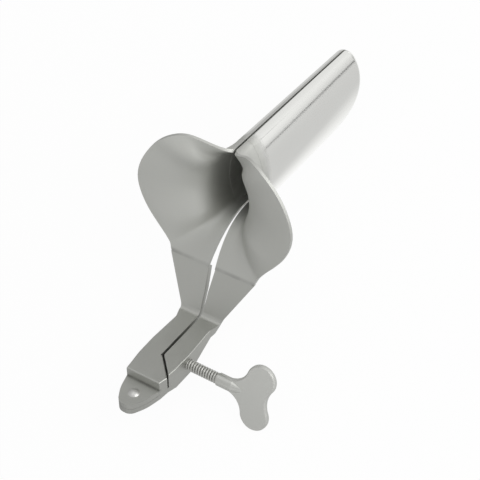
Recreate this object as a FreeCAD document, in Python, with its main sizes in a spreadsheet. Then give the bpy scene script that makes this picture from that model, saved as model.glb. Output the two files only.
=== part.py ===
import FreeCAD, Part
import math
import os

import Sketcher
from FreeCAD import Placement, Rotation, Vector

# Bivalve speculum: two sheet valves on forged handles, pivoting on one rivet and spread by a thumb screw.
# Working frame, in millimetres: X across (right half at +X), Y along the blades towards the tip, Z up.
# Its origin is the notch of the mouth, where the two blades' top edges meet.
# The finished pieces are turned so that the soles of the handles and the blades' tips are level, as on a table.

os.makedirs("parts", exist_ok=True)
doc = FreeCAD.newDocument("speculum")
sheet = doc.addObject("Spreadsheet::Sheet", "sizes")
values = {}


def put(alias, value, note):
    """Write one size in the sheet, under its alias."""
    row = len(values) + 1
    values[alias] = round(float(value), 6)
    sheet.set("A%d" % row, note)
    sheet.set("B%d" % row, str(values[alias]))
    sheet.setAlias("B%d" % row, alias)


# Driving sizes of the blade
put("metal", 1.4, "thickness of the sheet")
put("blade_reach", 97.3, "mouth notch to the end of the tip")
put("blade_height", 35.5, "top split edge to bottom split edge")
put("mouth_depth", 9.7, "split plane to the fullest part of the side wall, at the mouth")
put("tip_depth", 9.0, "the same at the tip")
put("side_radius", 33.5, "bow of the side wall from top to bottom")
put("side_low", 20.3, "fullest part of the side wall below the top")
put("edge_roll", 3.8, "outside radius of the rolled edge")
put("tip_radius", 25.3, "lower sweep of the tip")
put("tip_corner", 6.2, "upper corner of the tip")
put("blade_gap", 0.8, "gap between the edges of the two blades")

# Driving sizes of the flare
put("throat_y", 8.0, "where the flare begins")
put("throat_lap", 0.3, "how far the flare's sheet runs on inside the blade's")
put("throat_seat", 0.07, "how much thinner it is there on each side")
put("mouth_y", -16.6, "foremost plane of the mouth's rim")
put("ear_x", 17.0, "top of the flare's ear, across")
put("ear_z", 9.4, "top of the flare's ear, up")
put("wing_x", 38.2, "widest point of the flare, across")
put("wing_z", -17.5, "widest point of the flare, up")
put("neck_x", 21.6, "outer edge of the seam between flare and strap")
put("neck_round", 2.0, "rounding of the flare at the neck")
put("seam_y", -19.2, "the seam's front edge along Y")
put("seam_z", -51.6, "the seam's front edge, up")
put("seam_inner", 1.8, "inner end of the seam, across")
put("seam_trim", 0.4, "excess trimmed off at the seam")
put("throat_pull", 0.69, "share of the way forward that keeps the blade's direction")
put("rim_pull", 0.82, "share of the way outward that keeps the rim's direction")
put("rim_lean", 8.0, "forward lean of the flare at its rim, in degrees")
put("foot_pull", 0.52, "throat_pull at the seam")
put("foot_reach", 0.5, "rim_pull at the seam")
put("foot_lean", 32.0, "rim_lean at the seam")

# Driving sizes of the handles
put("strap_metal", 3.0, "thickness of the strap")
put("strap_step", 0.5, "how far the strap's face lies behind the flare's")
put("kink_y", -28.4, "inner corner of the kink")
put("kink_half", 10.1, "half the handle's width above the kink")
put("kink_inner", 3.0, "inside radius of the kink")
put("kink_outer", 5.0, "outside radius of the kink")
put("waist_y", -33.5, "narrowest place of the block")
put("waist_half", 8.9, "half the block's width there")
put("block_top", -72.4, "top face of the block")
put("block_half", 9.7, "half the block's width")
put("block_end_half", 9.5, "half the block's width before the step")
put("block_gap", 0.8, "gap between the two blocks")
put("heel_y", -50.5, "heel of the block")
put("heel_z", -83.2, "height of the heel")
put("sole_y", -60.5, "front end of the block's flat sole")
put("sole_z", -83.4, "height of the sole's front end")
put("lap_y", -56.2, "where the split turns outwards")
put("lap_end_y", -66.2, "where the split meets the block's side")
put("step_y", -70.6, "front of the block, where the tongue begins")
put("step_half", 8.4, "half the width at the step")
put("tongue_top", -77.0, "upper face of the upper tongue")
put("tongue_metal", 2.55, "thickness of one tongue")
put("tongue_cheek_y", -77.8, "where the tongue's sides turn in")
put("tongue_cheek_half", 6.6, "half the width there")
put("tongue_end", -84.4, "end of the tongues")
put("tongue_end_half", 2.9, "half the width of the end, before rounding")
put("tongue_round", 4.2, "rounding of the tongues' end")
put("cheek_round", 20.0, "rounding of the tongues' sides")
put("edge_round", 0.5, "rounding along the block's upper edges")
put("lap_clearance", 0.1, "gap between the two tongues")

# Driving sizes of the rivet
put("rivet_y", -77.2, "axis of the rivet along Y")
put("rivet_radius", 1.9, "shank of the rivet")
put("rivet_head", 2.5, "radius of the rivet's heads")
put("rivet_dome", 1.0, "height of the domed head")
put("rivet_foot", 0.6, "height of the flat head below")
put("rivet_clearance", 0.05, "running clearance of the rivet")

# Driving sizes of the thumb screw
put("screw_y", -51.0, "axis of the screw along Y")
put("screw_z", -77.8, "axis of the screw, up")
put("screw_radius", 2.5, "outside radius of the thread")
put("screw_clearance", 0.05, "running clearance of the thread")
put("screw_chamfer", 0.7, "chamfer of the screw's tip")
put("screw_rest", 0.15, "gap between the screw's tip and the left block")
put("thread_end", 24.9, "where the smooth shank begins, across")
put("spigot_radius", 1.4, "spigot of the spindle inside the shank")
put("spigot_length", 4.0, "length of the spigot")
put("spigot_clearance", 0.05, "clearance round the spigot")
put("shank_radius", 2.9, "smooth shank of the wing")
put("wing_metal", 2.4, "thickness of the wing")
put("wing_bevel", 0.6, "bevel round the wing")
put("wing_turn", 18.9, "turn of the wing about the screw, in degrees")
put("lobe_x", 44.3, "centres of the wing's lobes along the screw")
put("lobe_off", 8.6, "centres of the wing's lobes off the screw's axis")
put("lobe_radius", 6.7, "radius of the lobes")
put("waist_x", 48.6, "outer edge of the wing between the lobes")
put("wing_hollow", 9.2, "radius of the hollow between shank and lobe")

S = type("Sizes", (), values)


def line_under_circle(y0, z0, yc, zc, radius):
    """Slope of the line through one point that passes just under a circle."""
    towards = math.atan2(zc - z0, yc - y0)
    return math.tan(towards - math.asin(radius / math.hypot(yc - y0, zc - z0)))


# Sizes worked out from the driving ones
FAR = 3 * S.blade_reach
TABLE_SLOPE = line_under_circle(S.heel_y, S.heel_z, S.blade_reach - S.tip_radius,
                                S.tip_radius - S.blade_height, S.tip_radius)
seam = Vector(0, S.seam_y, S.seam_z)
strap_down = (Vector(0, S.kink_y, S.block_top) - seam).normalize()
strap_back = Vector(0, -strap_down.z, strap_down.y)
strap_front_top = seam + strap_back * S.strap_step
strap_back_top = strap_front_top + strap_back * S.strap_metal
back_fall = ((S.heel_z + (strap_back_top.y - S.heel_y) * TABLE_SLOPE - strap_back_top.z)
             / (strap_down.z - TABLE_SLOPE * strap_down.y))
heel_back = strap_back_top + strap_down * back_fall
front_fall = (S.block_top - strap_front_top.z) / strap_down.z
lap_middle = S.tongue_top - S.tongue_metal - S.lap_clearance / 2

put("strap_front_y", strap_front_top.y, "front top corner of the strap")
put("strap_front_z", strap_front_top.z, "the same, up")
put("strap_back_y", strap_back_top.y, "back top corner of the strap")
put("strap_back_z", strap_back_top.z, "the same, up")
put("kink_front_y", strap_front_top.y + strap_down.y * front_fall, "where the strap's front meets the block's top")
put("heel_back_y", heel_back.y, "where the strap's back meets the block's underside")
put("heel_back_z", heel_back.z, "the same, up")
put("upper_bottom", lap_middle + S.lap_clearance / 2, "lower face of the upper tongue")
put("lower_top", lap_middle - S.lap_clearance / 2, "upper face of the lower tongue")
put("tongue_bottom", lap_middle - S.lap_clearance / 2 - S.tongue_metal, "lower face of the lower tongue")
put("foot_top", lap_middle - S.lap_clearance / 2 - S.tongue_metal - S.rivet_clearance, "top of the rivet's flat head")
put("dome_radius", (S.rivet_head ** 2 + S.rivet_dome ** 2) / (2 * S.rivet_dome), "sphere of the domed head")
put("split_slope", (S.lap_y - S.lap_end_y) / S.block_half, "fall of the outward stretch of the split")
put("split_shift", S.block_gap / 2 * math.hypot(1, (S.lap_y - S.lap_end_y) / S.block_half), "half the gap along Y")
put("screw_start", S.screw_rest - S.block_gap / 2, "the screw's tip, across")
S = type("Sizes", (), values)
doc.recompute()

# Turn that brings the soles of the handles level with the tips of the blades
table_turn = Rotation(Vector(1, 0, 0), -math.degrees(math.atan(TABLE_SLOPE)))


# Small helpers

def mixed(low, high, share):
    return low + (high - low) * share


def smooth(share):
    """Ease from 0 to 1."""
    share = min(max(share, 0), 1)
    return share * share * (3 - 2 * share)


def rising_curve(knots, heights, where):
    """Smooth rising curve through a few knots, without overshoot."""
    steps = [(heights[i + 1] - heights[i]) / (knots[i + 1] - knots[i]) for i in range(len(knots) - 1)]
    slopes = [steps[0]] + [2 * a * b / (a + b) for a, b in zip(steps, steps[1:])] + [steps[-1]]
    i = max(k for k in range(len(steps)) if k == 0 or where >= knots[k])
    width = knots[i + 1] - knots[i]
    t = (where - knots[i]) / width
    start = (1 + 2 * t) * (1 - t) ** 2 * heights[i] + t * (1 - t) ** 2 * width * slopes[i]
    return start + t * t * (3 - 2 * t) * heights[i + 1] + t * t * (t - 1) * width * slopes[i + 1]


def even_points(wire):
    """Many points at even steps along a wire, from its upper end to its lower one."""
    points = wire.discretize(Number=4001)
    return points if points[0].z > points[-1].z else points[::-1]


def point_at(points, share):
    place = min(max(share, 0), 1) * (len(points) - 1)
    index = min(int(place), len(points) - 2)
    return points[index] + (points[index + 1] - points[index]) * (place - index)


def heading_at(points, share):
    return (point_at(points, share + 0.002) - point_at(points, share - 0.002)).normalize()


# The blade of a valve: a trough with a bowed side and a rolled edge

def tip_outline(depth, inset, start):
    """Outline of the blade seen from its side, smaller all round by one inset."""
    low = Vector(depth, S.blade_reach - S.tip_radius, S.tip_radius - S.blade_height)
    rise = -S.tip_corner - low.z
    high = Vector(depth, low.y + math.sqrt((S.tip_radius - S.tip_corner) ** 2 - rise ** 2), -S.tip_corner)
    up = Vector(0, 0, 1)
    across = (high - low).normalize()
    top = high + up * (S.tip_corner - inset)
    meet = low + across * (S.tip_radius - inset)
    bottom = low - up * (S.tip_radius - inset)
    corner_middle = high + (up + across).normalize() * (S.tip_corner - inset)
    sweep_middle = low + (across - up).normalize() * (S.tip_radius - inset)
    top_start = Vector(depth, start, top.z)
    bottom_start = Vector(depth, start, bottom.z)
    return Part.Wire([
        Part.makeLine(top_start, top),
        Part.Arc(top, corner_middle, meet).toShape(),
        Part.Arc(meet, sweep_middle, bottom).toShape(),
        Part.makeLine(bottom, bottom_start),
        Part.makeLine(bottom_start, top_start),
    ])


def trough(inset, start):
    """Half of a closed blade, running on past the split plane."""
    reach = S.mouth_depth + S.side_low
    flat = Part.Face(tip_outline(-S.side_low, inset, start)).extrude(Vector(reach, 0, 0))
    taper = (S.tip_depth - S.mouth_depth) / S.blade_reach
    radius = S.side_radius - inset
    axis = Vector(taper, 1, 0).normalize()
    axis_start = Vector(S.mouth_depth - taper * S.blade_reach - S.side_radius, -S.blade_reach, -S.side_low)
    solid = flat.common(Part.makeCylinder(radius, FAR, axis_start, axis))
    rolled = []
    for edge in solid.Edges:
        middle = edge.valueAt((edge.FirstParameter + edge.LastParameter) / 2)
        on_side = abs((middle - axis_start).cross(axis).Length - radius) < 0.001
        if on_side and middle.y > start + 0.01 and middle.x > 0:
            rolled.append(edge)
    return solid.makeFillet(S.edge_roll - inset, rolled)


def right_of_split(shape):
    return shape.common(Part.makeBox(FAR, 2 * FAR, 2 * FAR, Vector(S.blade_gap / 2, -FAR, -FAR)))


def throat_points(full_blade):
    """The blade's outer section at the throat, from its top split edge to its bottom one."""
    section = full_blade.slice(Vector(0, 1, 0), S.throat_y + 0.0005)[0]
    split = S.blade_gap / 2
    walls = [edge for edge in section.Edges if max(v.X for v in edge.Vertexes) > split + 0.01]
    return even_points(Part.Wire(Part.__sortEdges__(walls)))


# The flare of a valve: a sheet drawn from the blade's section out to the rim

def rim_wire():
    """Outer edge of the flare, from the notch over the ear and down the wing, and back along the seam."""
    foot = seam + strap_back * S.metal + strap_down * S.seam_trim
    points = [
        Vector(S.blade_gap / 2, 0, 0),
        Vector(0.51 * S.ear_x, 0.48 * S.mouth_y, 0.61 * S.ear_z),
        Vector(0.97 * S.ear_x, 0.78 * S.mouth_y, 1.02 * S.ear_z),
        Vector(0.62 * S.wing_x, 0.92 * S.mouth_y, 0.74 * S.ear_z),
        Vector(0.78 * S.wing_x, 0.95 * S.mouth_y, -0.07 * S.wing_z),
        Vector(0.92 * S.wing_x, 0.98 * S.mouth_y, 0.4 * S.wing_z),
        Vector(S.wing_x, S.mouth_y, S.wing_z),
        Vector(0.965 * S.wing_x, S.mouth_y, 1.5 * S.wing_z),
        Vector(0.85 * S.wing_x, S.mouth_y, 2.0 * S.wing_z),
        Vector(0.72 * S.wing_x, S.mouth_y, 2.37 * S.wing_z),
        Vector(S.neck_x + 1.6, S.mouth_y, foot.z + 5),
    ]
    curve = Part.BSplineCurve()
    curve.interpolate(points)
    side = curve.toShape()
    end = points[-1]
    inwards = Vector(-1, 0, 0)
    corner = Vector(S.neck_x, foot.y, foot.z)
    bend = Part.BezierCurve()
    bend.setPoles([
        end,
        end + side.tangentAt(side.LastParameter) * 2.5,
        Vector(corner.x + 0.2, mixed(end.y, corner.y, 0.7), corner.z + 1.2),
        corner + inwards * 0.2 * S.neck_round,
        corner + inwards * S.neck_round,
    ])
    straight = Part.makeLine(corner + inwards * S.neck_round, Vector(S.seam_inner, foot.y, foot.z))
    return Part.Wire([side, bend.toShape(), straight])


def station_shares():
    """Places along the throat, closer together at the ear and towards the seam."""
    shares = [0.0]
    for stretch, count in ((0.24, 10), (0.5, 12), (0.26, 14)):
        start = shares[-1]
        shares += [start + stretch * (k + 1) / count for k in range(count)]
    return shares


def flare_grid(throat, steps):
    """Rows of points on the flare's outer face, from the throat to the rim, and the way inwards at the throat."""
    wire = rim_wire()
    rim = even_points(wire)
    ear = 0.24 * wire.Length
    neck = wire.Length - (S.neck_x - S.seam_inner)
    rows = []
    inwards = []
    for share in station_shares():
        heading = heading_at(throat, share)
        outside = Vector(-heading.z, 0, heading.x)
        start = point_at(throat, share) - outside * S.throat_seat
        start.x = max(start.x, S.blade_gap / 2 + S.throat_seat)
        start.y = S.throat_y + S.throat_lap
        reach = rising_curve([0, 0.24, 0.86, 1], [0, ear, neck, wire.Length], share)
        stop = point_at(rim, reach / wire.Length)
        rim_heading = heading_at(rim, reach / wire.Length)
        square = Vector(-rim_heading.z, 0, rim_heading.x).normalize()
        outward = Vector(stop.x - start.x, 0, stop.z - start.z)
        distance = outward.Length
        ear_share = 0.5 * smooth(1.6 - reach / ear)
        lead = (outward.normalize() * (1 - ear_share) + square * ear_share).normalize()
        foot = smooth((reach - neck + 16) / 28)
        lean = math.radians(mixed(S.rim_lean, S.foot_lean, foot))
        away = lead * math.cos(lean) - Vector(0, 1, 0) * math.sin(lean)
        forward = mixed(S.throat_pull, S.foot_pull, foot) * (start.y - stop.y)
        leaving = start - Vector(0, 1, 0) * forward
        arriving = stop - away * mixed(S.rim_pull, S.foot_reach, foot) * distance
        curve = Part.BezierCurve()
        curve.setPoles([start, leaving, arriving, stop])
        rows.append(curve.discretize(Number=steps + 1))
        inwards.append(-outside)
    return rows, inwards


def evened(normals):
    """The same directions, each drawn a little towards its neighbours in the rows beside it."""
    count = len(normals)
    sides = [(normals[max(i - 1, 0)], normals[i], normals[min(i + 1, count - 1)]) for i in range(count)]
    return [[(a + b * 2 + c).normalize() for a, b, c in zip(*rows)] for rows in sides]


def inner_grid(rows, inwards, surface):
    """The same points on the sheet's inner face."""
    normals = [[surface.normal(*surface.parameter(point)) for point in row] for row in rows]
    for turn in range(4):
        normals = evened(normals)
    split = S.blade_gap / 2
    inner = []
    for i, row in enumerate(rows):
        points = [row[0] + inwards[i] * (S.metal - 2 * S.throat_seat)]
        for point, normal in zip(row[1:], normals[i][1:]):
            towards = Vector(normal)
            if i in (0, len(rows) - 1):
                towards.x = 0
                towards.normalize()
            inside = point + towards * (S.metal / max(towards.dot(normal), 0.8))
            inside.x = max(inside.x, mixed(split, point.x, 0.3))
            points.append(inside)
        inner.append(points)
    return inner


def surface_through(rows):
    surface = Part.BSplineSurface()
    surface.interpolate(rows)
    return surface


def sheet_between(outer, inner):
    """Solid between two surfaces, closed along their four borders."""
    u0, u1, v0, v1 = outer.bounds()
    a0, a1, b0, b1 = inner.bounds()
    borders = [(outer.uIso(u0), inner.uIso(a0)), (outer.uIso(u1), inner.uIso(a1)),
               (outer.vIso(v0), inner.vIso(b0)), (outer.vIso(v1), inner.vIso(b1))]
    faces = [outer.toShape(), inner.toShape()]
    same_way = 1
    for one, other in borders:
        faces.append(Part.makeRuledSurface(one.toShape(), other.toShape(), same_way))
    shell = Part.Shell(faces)
    shell.sewShape()
    solid = Part.Solid(shell)
    if solid.Volume < 0:
        solid.reverse()
    return solid


def valve_shape():
    """The right valve: blade and flare in one sheet, trimmed square to the strap at the seam."""
    full_blade = right_of_split(trough(0, S.throat_y))
    blade = full_blade.cut(trough(S.metal, S.throat_y - 1))
    rows, inwards = flare_grid(throat_points(full_blade), 10)
    outer = surface_through(rows)
    flare = sheet_between(outer, surface_through(inner_grid(rows, inwards, outer)))
    turn = Rotation(Vector(0, 0, -1), strap_down)
    below = Part.makeBox(FAR, FAR, FAR, Vector(-FAR / 2, -FAR / 2, -FAR))
    below.Placement = Placement(seam, turn)
    return flare.fuse(blade).cut(below).Solids[0]


def add_shape(label, shape):
    """A piece made from a shape."""
    piece = doc.addObject("Part::Feature", label)
    piece.Label = label
    piece.Shape = shape
    return piece


right_valve = add_shape("right_valve", valve_shape())
left_valve = add_shape("left_valve", right_valve.Shape.mirror(Vector(0, 0, 0), Vector(1, 0, 0)))


# Sketches and features of the handles. A sketch's points are counted from its origin: start, end and centre.

ORIGIN, START, END, CENTRE = -1, 1, 2, 3


def value_of(text):
    """Number that an expression of the sheet's sizes gives."""
    result = sheet.evalExpression(text.replace("$", "sizes."))
    return float(getattr(result, "Value", result))


def outline_sketch(body, role, name, corners, offset="0"):
    """Closed outline of straight lines, each corner held at two expressions of the sheet's sizes."""
    sketch = body.newObject("Sketcher::SketchObject", name)
    plane = [feature for feature in body.Origin.OriginFeatures if feature.Role == role][0]
    sketch.AttachmentSupport = (plane, [""])
    sketch.MapMode = "FlatFace"
    sketch.setExpression(".AttachmentOffset.Base.z", offset.replace("$", "sizes."))
    points = [Vector(value_of(across), value_of(up), 0) for across, up in corners]
    for start, stop in zip(points, points[1:] + points[:1]):
        sketch.addGeometry(Part.LineSegment(start, stop), False)
    last = len(points) - 1
    for index in range(len(points)):
        before = index - 1 if index else last
        sketch.addConstraint(Sketcher.Constraint("Coincident", before, END, index, START))
    for index, corner in enumerate(corners):
        for kind, text in zip(("DistanceX", "DistanceY"), corner):
            number = sketch.addConstraint(Sketcher.Constraint(kind, ORIGIN, START, index, START, value_of(text)))
            sketch.setExpression("Constraints[%d]" % number, text.replace("$", "sizes."))
    return sketch


def pad(body, name, sketch, length, reverse=False):
    feature = body.newObject("PartDesign::Pad", name)
    feature.Profile = sketch
    feature.setExpression("Length", length.replace("$", "sizes."))
    feature.Reversed = reverse
    doc.recompute()
    return feature


def pocket(body, name, sketch, length=None, reverse=False):
    feature = body.newObject("PartDesign::Pocket", name)
    feature.Profile = sketch
    if length:
        feature.setExpression("Length", length.replace("$", "sizes."))
    else:
        feature.Type = "ThroughAll"
    feature.Reversed = reverse
    doc.recompute()
    return feature


def sided(side, corners):
    """Outline with its first coordinates on one side of the split plane."""
    return [("%d * (%s)" % (side, across), up) for across, up in corners]


def round_hole(body, role, name, centre, radius, reverse=False):
    """Round hole right through, its centre and radius held at expressions."""
    sketch = outline_sketch(body, role, name + "_outline", [])
    middle = Vector(value_of(centre[0]), value_of(centre[1]), 0)
    sketch.addGeometry(Part.Circle(middle, Vector(0, 0, 1), value_of(radius)), False)
    for kind, text in zip(("DistanceX", "DistanceY"), centre):
        number = sketch.addConstraint(Sketcher.Constraint(kind, ORIGIN, START, 0, CENTRE, value_of(text)))
        sketch.setExpression("Constraints[%d]" % number, text.replace("$", "sizes."))
    number = sketch.addConstraint(Sketcher.Constraint("Radius", 0, value_of(radius)))
    sketch.setExpression("Constraints[%d]" % number, radius.replace("$", "sizes."))
    return pocket(body, name, sketch, None, reverse)


def dress(body, kind, name, size, choose):
    """Fillet or chamfer on the edges whose two ends and middle pass a test."""
    base = body.Tip
    names = []
    for index, edge in enumerate(base.Shape.Edges):
        ends = [vertex.Point for vertex in edge.Vertexes]
        middle = edge.valueAt((edge.FirstParameter + edge.LastParameter) / 2)
        if choose(ends, middle):
            names.append("Edge%d" % (index + 1))
    feature = body.newObject("PartDesign::" + kind, name)
    feature.Base = (base, names)
    feature.setExpression("Radius" if kind == "Fillet" else "Size", size.replace("$", "sizes."))
    doc.recompute()
    return feature


def lies_at(point, y, z):
    return abs(point.y - y) < 0.01 and abs(point.z - z) < 0.01


def stands_at(point, across, y):
    return abs(abs(point.x) - across) < 0.01 and abs(point.y - y) < 0.01


def along_top(point):
    """On one of the block's long upper edges."""
    lengthwise = S.step_y + 0.5 < point.y < S.kink_front_y - S.kink_inner
    return abs(point.z - S.block_top) < 0.01 and (lengthwise or abs(point.y - S.step_y) < 0.01)


def handle(label, side):
    """Strap, block and tongue in one forging: side 1 is the right one, with the lower tongue."""
    body = doc.addObject("PartDesign::Body", label)
    body.Label = label
    lower = side > 0
    profile = outline_sketch(body, "YZ_Plane", label + "_profile", [
        ("$strap_front_y", "$strap_front_z"),
        ("$kink_front_y", "$block_top"),
        ("$step_y", "$block_top"),
        ("$step_y", "$tongue_bottom"),
        ("$sole_y - 5", "$tongue_bottom"),
        ("$sole_y", "$sole_z"),
        ("$heel_y", "$heel_z"),
        ("$heel_back_y", "$heel_back_z"),
        ("$strap_back_y", "$strap_back_z"),
    ])
    pad(body, label + "_forging", profile, "$neck_x", not lower)
    dress(body, "Fillet", label + "_kink_inside", "$kink_inner",
          lambda ends, middle: all(lies_at(p, S.kink_front_y, S.block_top) for p in ends))
    dress(body, "Fillet", label + "_kink_outside", "$kink_outer",
          lambda ends, middle: all(lies_at(p, S.heel_back_y, S.heel_back_z) for p in ends))
    front = "-$tongue_end + 10"
    side_line = outline_sketch(body, "XZ_Plane", label + "_side_line", sided(side, [
        ("$neck_x + 2 * ($neck_x - $kink_half) / ($seam_z - $block_top)", "$seam_z + 2"),
        ("$kink_half", "$block_top"),
        ("$block_half", "$block_top - 1.5"),
        ("$block_half", "$sole_z - 5"),
        ("$neck_x + 10", "$sole_z - 5"),
        ("$neck_x + 10", "$seam_z + 2"),
    ]), front)
    pocket(body, label + "_outer_side", side_line)
    gap_line = outline_sketch(body, "XZ_Plane", label + "_gap_line", sided(side, [
        ("$seam_inner", "$seam_z + 2"),
        ("$seam_inner", "$seam_z"),
        ("$seam_inner / 2", "$seam_z / 2 + $block_top / 2"),
        ("$block_gap", "$block_top + 4"),
        ("$block_gap / 2", "$block_top - 5"),
        ("$block_gap / 2", "$sole_z - 5"),
        ("-1", "$sole_z - 5"),
        ("-1", "$seam_z + 2"),
    ]), front)
    pocket(body, label + "_inner_side", gap_line)
    plan = outline_sketch(body, "XY_Plane", label + "_plan", sided(side, [
        ("$kink_half + 1", "$kink_front_y + 1"),
        ("$waist_half", "$waist_y"),
        ("$block_half", "$heel_y"),
        ("$block_end_half", "$sole_y"),
        ("$step_half", "$step_y"),
        ("$step_half", "$step_y - 5"),
        ("$neck_x + 10", "$step_y - 5"),
        ("$neck_x + 10", "$kink_front_y + 1"),
    ]), "$block_top")
    pocket(body, label + "_waisted_sides", plan)
    split = sided(side, [
        ("-1", "$lap_y + $split_shift + $split_slope"),
        ("$block_half + 1", "$lap_y + $split_shift - $split_slope * ($block_half + 1)"),
        ("$block_half + 1", "$step_y - 1"),
        ("-1", "$step_y - 1"),
    ])
    crossing = [
        ("1", "$lap_y - $split_shift"),
        ("0", "$lap_y - $split_shift"),
        ("-$block_end_half", "$lap_y - $split_shift - $split_slope * $block_end_half"),
        ("-$step_half", "$step_y"),
    ]
    tongue = [
        ("-$tongue_cheek_half", "$tongue_cheek_y"),
        ("-$tongue_end_half", "$tongue_end"),
        ("$tongue_end_half", "$tongue_end"),
        ("$tongue_cheek_half", "$tongue_cheek_y"),
    ]
    if lower:
        recess = outline_sketch(body, "XY_Plane", label + "_split", split, "$block_top + 1")
        pocket(body, label + "_recess", recess, "$block_top + 1 - $lower_top")
        plate = outline_sketch(body, "XY_Plane", label + "_plate", sided(side, crossing + tongue + [
            ("$step_half", "$step_y"),
        ]), "$tongue_bottom")
        pad(body, label + "_tongue", plate, "$tongue_metal")
    else:
        recess = outline_sketch(body, "XY_Plane", label + "_split", split, "$upper_bottom")
        pocket(body, label + "_recess", recess)
        plate = outline_sketch(body, "XY_Plane", label + "_plate", sided(side, crossing + [
            ("1", "$step_y"),
        ]), "$upper_bottom")
        pad(body, label + "_crossing", plate, "$block_top - $upper_bottom")
        tongue_plan = outline_sketch(body, "XY_Plane", label + "_tongue_plan", sided(side, [
            ("-$step_half + 0.5", "$step_y + 1"),
            ("-$step_half", "$step_y"),
        ] + tongue + [
            ("$step_half", "$step_y"),
            ("$step_half - 0.5", "$step_y + 1"),
        ]), "$upper_bottom")
        pad(body, label + "_tongue", tongue_plan, "$tongue_metal")

    dress(body, "Fillet", label + "_tongue_end", "$tongue_round",
          lambda ends, middle: all(stands_at(p, S.tongue_end_half, S.tongue_end) for p in ends + [middle]))
    dress(body, "Fillet", label + "_tongue_cheeks", "$cheek_round",
          lambda ends, middle: all(stands_at(p, S.tongue_cheek_half, S.tongue_cheek_y) for p in ends + [middle]))
    dress(body, "Fillet", label + "_upper_edges", "$edge_round",
          lambda ends, middle: all(along_top(p) for p in ends + [middle]))
    rivet_hole = "$rivet_radius + $rivet_clearance" if lower else "$rivet_radius"
    round_hole(body, "XY_Plane", label + "_rivet_hole", ("0", "$rivet_y"), rivet_hole)
    if lower:
        round_hole(body, "YZ_Plane", label + "_screw_hole", ("$screw_y", "$screw_z"),
                   "$screw_radius + $screw_clearance", True)
    return body


right_handle = handle("right_handle", 1)
left_handle = handle("left_handle", -1)


# The rivet, its domed head on the upper tongue and its flat head just clear of the lower one

def cylinder(name, radius, height):
    part = doc.addObject("Part::Cylinder", name)
    part.setExpression("Radius", radius.replace("$", "sizes."))
    part.setExpression("Height", height.replace("$", "sizes."))
    return part


def placed(part, **places):
    """Bind a part's position to expressions, one for each axis named."""
    for axis, text in places.items():
        part.setExpression(".Placement.Base." + axis, text.replace("$", "sizes."))
    return part


def joined(label, parts):
    whole = doc.addObject("Part::MultiFuse", label)
    whole.Label = label
    whole.Shapes = parts
    whole.Refine = True
    return whole


shank = placed(cylinder("rivet_shank", "$rivet_radius", "$tongue_top - $foot_top + $rivet_foot / 2"),
               y="$rivet_y", z="$foot_top - $rivet_foot / 2")
foot = placed(cylinder("rivet_foot_head", "$rivet_head", "$rivet_foot"), y="$rivet_y", z="$foot_top - $rivet_foot")
dome = doc.addObject("Part::Sphere", "rivet_dome_head")
dome.setExpression("Radius", "sizes.dome_radius")
dome.setExpression("Angle1", "asin(1 - sizes.rivet_dome / sizes.dome_radius)")
placed(dome, y="$rivet_y", z="$tongue_top + $rivet_dome - $dome_radius")
pivot_rivet = joined("pivot_rivet", [shank, foot, dome])


# The thumb screw: a spindle with a spigot, and the wing with its smooth shank

def along_screw(part, start):
    """Lay an upright part along the screw's axis, from one place across."""
    part.Placement = Placement(Vector(), Rotation(Vector(0, 1, 0), 90))
    return placed(part, x=start, y="$screw_y", z="$screw_z")


thread = along_screw(cylinder("screw_thread", "$screw_radius", "$thread_end - $screw_start - $screw_chamfer"),
                     "$screw_start + $screw_chamfer")
point = doc.addObject("Part::Cone", "screw_point")
point.setExpression("Radius1", "sizes.screw_radius - sizes.screw_chamfer")
point.setExpression("Radius2", "sizes.screw_radius")
point.setExpression("Height", "sizes.screw_chamfer")
along_screw(point, "$screw_start")
spigot = along_screw(cylinder("screw_spigot", "$spigot_radius", "$spigot_length + 1"), "$thread_end - 1")
screw_spindle = joined("screw_spindle", [thread, point, spigot])


def wing_outline():
    """Outline of the wing's plate: hollows from the shank to the lobes, and a waist between the lobes."""
    lobe = Vector(S.lobe_x, 0, S.lobe_off)
    hollow_z = S.shank_radius + S.wing_hollow
    centres = S.wing_hollow + S.lobe_radius
    hollow = Vector(S.lobe_x - math.sqrt(centres ** 2 - (hollow_z - S.lobe_off) ** 2), 0, hollow_z)
    waist_depth = S.waist_x - S.lobe_x
    waist_radius = ((waist_depth ** 2 + S.lobe_off ** 2 - S.lobe_radius ** 2)
                    / (2 * (S.lobe_radius - waist_depth)))
    to_lobe = (lobe - hollow).normalize()
    to_waist = (Vector(S.waist_x + waist_radius, 0, 0) - lobe).normalize()
    start = hollow + Vector(0, 0, -S.wing_hollow)
    hollow_middle = hollow + (to_lobe + Vector(0, 0, -1)).normalize() * S.wing_hollow
    on_lobe = lobe - to_lobe * S.lobe_radius
    lobe_middle = lobe + (to_lobe - to_waist).normalize() * S.lobe_radius
    off_lobe = lobe + to_waist * S.lobe_radius
    half = [Part.Arc(start, hollow_middle, on_lobe).toShape(), Part.Arc(on_lobe, lobe_middle, off_lobe).toShape()]
    below = [edge.mirror(Vector(), Vector(0, 0, 1)) for edge in half]
    waist = Part.Arc(off_lobe, Vector(S.waist_x, 0, 0), Vector(off_lobe.x, 0, -off_lobe.z)).toShape()
    back = Part.makeLine(start, Vector(start.x, 0, -start.z))
    return Part.Wire(Part.__sortEdges__(half + below + [waist, back])), start.x


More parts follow.
